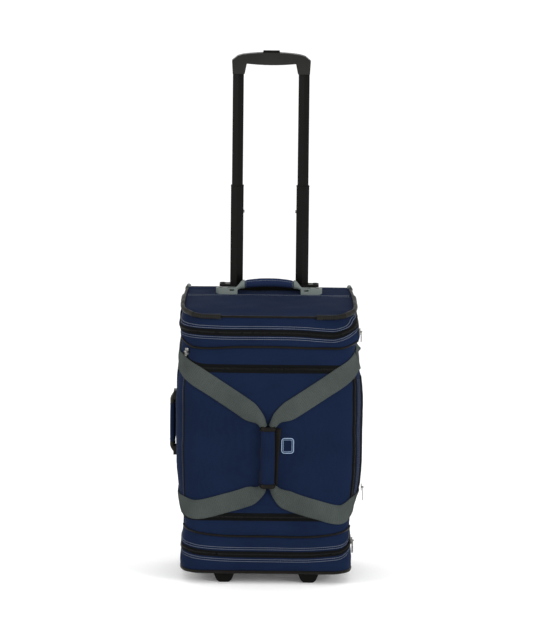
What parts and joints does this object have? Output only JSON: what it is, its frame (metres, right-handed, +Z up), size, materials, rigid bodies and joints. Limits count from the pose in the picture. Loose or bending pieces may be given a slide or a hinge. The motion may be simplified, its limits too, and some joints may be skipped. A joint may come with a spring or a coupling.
{
  "type": "softside upright suitcase",
  "caption": "Upright wheeled soft bag with a two-stage trolley handle, hinged front lid, top pocket flap, carry straps and two rear wheels.",
  "frame": {"origin": "on the floor, midway between the sides and between the front and back of the whole object", "axes": "+Z up along the drawn-out handle, the front of the bag faces -Y, +X to the right seen from the front"},
  "size_m": [0.3791, 0.268, 1.0215],
  "materials": {
    "navy_fabric": "matt woven nylon",
    "navy_padding": "padded woven nylon",
    "lining": "thin lining cloth on a stiff sheet",
    "black_plastic": "moulded, satin",
    "tube_metal": "black anodised",
    "bare_aluminium": "mill finish",
    "steel": "plain",
    "piping_black": "smooth extruded cord",
    "zip_black": "woven tape with coil teeth",
    "zip_metal": "worn nickel",
    "webbing": "ribbed webbing",
    "grey_plastic": "moulded, satin",
    "wheel_plastic": "moulded",
    "tyre_rubber": "dark"
  },
  "bodies": {
    "case": {"back_panel": "navy_fabric", "left_side_panel": "navy_fabric", "right_side_panel": "navy_fabric", "top_strip": "navy_fabric", "base_tray": "black_plastic", "front_upper_panel": "navy_fabric", "front_lower_panel": "navy_fabric", "upper_divider": "lining", "lower_divider": "lining", "trolley_cover": "lining", "outer_tubes": "bare_aluminium", "tube_bracket": "black_plastic", "handle_bezel": "black_plastic", "tube_catches": "steel", "case_screws": "steel", "wheel_housing_left": "black_plastic", "wheel_housing_right": "black_plastic", "wheel_axles": "steel", "front_feet": "black_plastic", "body_piping": "piping_black", "top_zip": "zip_black", "lid_zip": "zip_black", "bottom_zip": "zip_black", "side_zip": "zip_black", "zip_sliders": "zip_metal", "side_webbing": "webbing", "right_carry_strap": "webbing", "grab_mounts": "grey_plastic", "side_mounts": "grey_plastic", "handle_rivets": "steel"},
    "lid": {"front_lid": "navy_fabric", "left_carry_strap": "webbing", "wrap_core": "piping_black"},
    "wrap": {"wrap_flap": "navy_padding"},
    "flap": {"top_flap": "navy_fabric", "corner_guards": "black_plastic", "top_piping": "piping_black"},
    "middle_stage": {"mid_tube_left": "tube_metal", "mid_tube_right": "tube_metal", "mid_collars": "black_plastic"},
    "inner_stage": {"inner_tube_left": "tube_metal", "inner_tube_right": "tube_metal", "inner_lock_clips": "steel", "grip_front": "black_plastic", "grip_rear": "black_plastic", "grip_screws": "steel", "button_spring": "steel"},
    "button": {"release_button": "black_plastic", "push_rods": "steel"},
    "left_wheel": {"wheel_left": "wheel_plastic", "tyre_left": "tyre_rubber"},
    "right_wheel": {"wheel_right": "wheel_plastic", "tyre_right": "tyre_rubber"},
    "grab_handle": {"grab_grip": "navy_padding"},
    "side_handle": {"side_grip": "navy_padding"},
    "side_slider": {"side_zip_slider": "zip_metal"},
    "top_puller": {"top_zip_puller": "zip_metal"},
    "lid_puller": {"lid_zip_puller": "zip_metal"},
    "bottom_puller": {"bottom_zip_puller": "zip_metal"},
    "side_puller": {"side_zip_puller": "zip_metal"}
  },
  "joints": [
    {"name": "lid_hinge", "type": "hinge", "parent": "case", "child": "lid", "pos_m": [-0.1745, -0.08, 0.276], "axis": [0, 0, -1], "range_deg": [0, 105], "deforming": ["right_carry_strap"]},
    {"name": "wrap_hinge", "type": "hinge", "parent": "lid", "child": "wrap", "pos_m": [-0.015, -0.1233, 0.2535], "axis": [0, 0, -1], "range_deg": [0, 90]},
    {"name": "flap_hinge", "type": "hinge", "parent": "case", "child": "flap", "pos_m": [0, 0.037, 0.5443], "axis": [-1, 0, 0], "range_deg": [0, 80]},
    {"name": "middle_slide", "type": "slide", "parent": "case", "child": "middle_stage", "axis": [0, 0, 1], "range_m": [-0.176, 0]},
    {"name": "inner_slide", "type": "slide", "parent": "middle_stage", "child": "inner_stage", "axis": [0, 0, 1], "range_m": [-0.218, 0], "deforming": ["inner_lock_clips"]},
    {"name": "button_press", "type": "slide", "parent": "inner_stage", "child": "button", "axis": [0, 0, -1], "range_m": [0, 0.004], "stiffness_N_per_m": 600, "springref_m": -0.004, "deforming": ["button_spring"]},
    {"name": "left_wheel_spin", "type": "hinge", "parent": "case", "child": "left_wheel", "pos_m": [-0.143, 0.102, 0.03], "axis": [1, 0, 0], "continuous": true},
    {"name": "right_wheel_spin", "type": "hinge", "parent": "case", "child": "right_wheel", "pos_m": [0.143, 0.102, 0.03], "axis": [1, 0, 0], "continuous": true},
    {"name": "grab_hinge", "type": "hinge", "parent": "case", "child": "grab_handle", "pos_m": [0, 0.055, 0.5545], "axis": [1, 0, 0], "range_deg": [-25, 30]},
    {"name": "side_handle_hinge", "type": "hinge", "parent": "case", "child": "side_handle", "pos_m": [-0.1805, 0, 0.2995], "axis": [0, 0, 1], "range_deg": [-20, 20]},
    {"name": "side_slider_slide", "type": "slide", "parent": "case", "child": "side_slider", "axis": [0, 0, 1], "range_m": [0, 0.2]},
    {"name": "top_puller_swing", "type": "hinge", "parent": "case", "child": "top_puller", "pos_m": [0.17899, -0.07348, 0.492], "axis": [-0.2079, -0.9781, 0], "range_deg": [0, 150]},
    {"name": "lid_puller_swing", "type": "hinge", "parent": "case", "child": "lid_puller", "pos_m": [-0.15898, -0.1055, 0.455], "axis": [-0.788, 0.6157, 0], "range_deg": [0, 150]},
    {"name": "bottom_puller_swing", "type": "hinge", "parent": "case", "child": "bottom_puller", "pos_m": [0.1728, -0.0896, 0.084], "axis": [-0.5, -0.866, 0], "range_deg": [0, 150]},
    {"name": "side_puller_swing", "type": "hinge", "parent": "side_slider", "child": "side_puller", "pos_m": [0.1862, -0.058, 0.184], "axis": [0, -1, 0], "range_deg": [0, 150]}
  ]
}
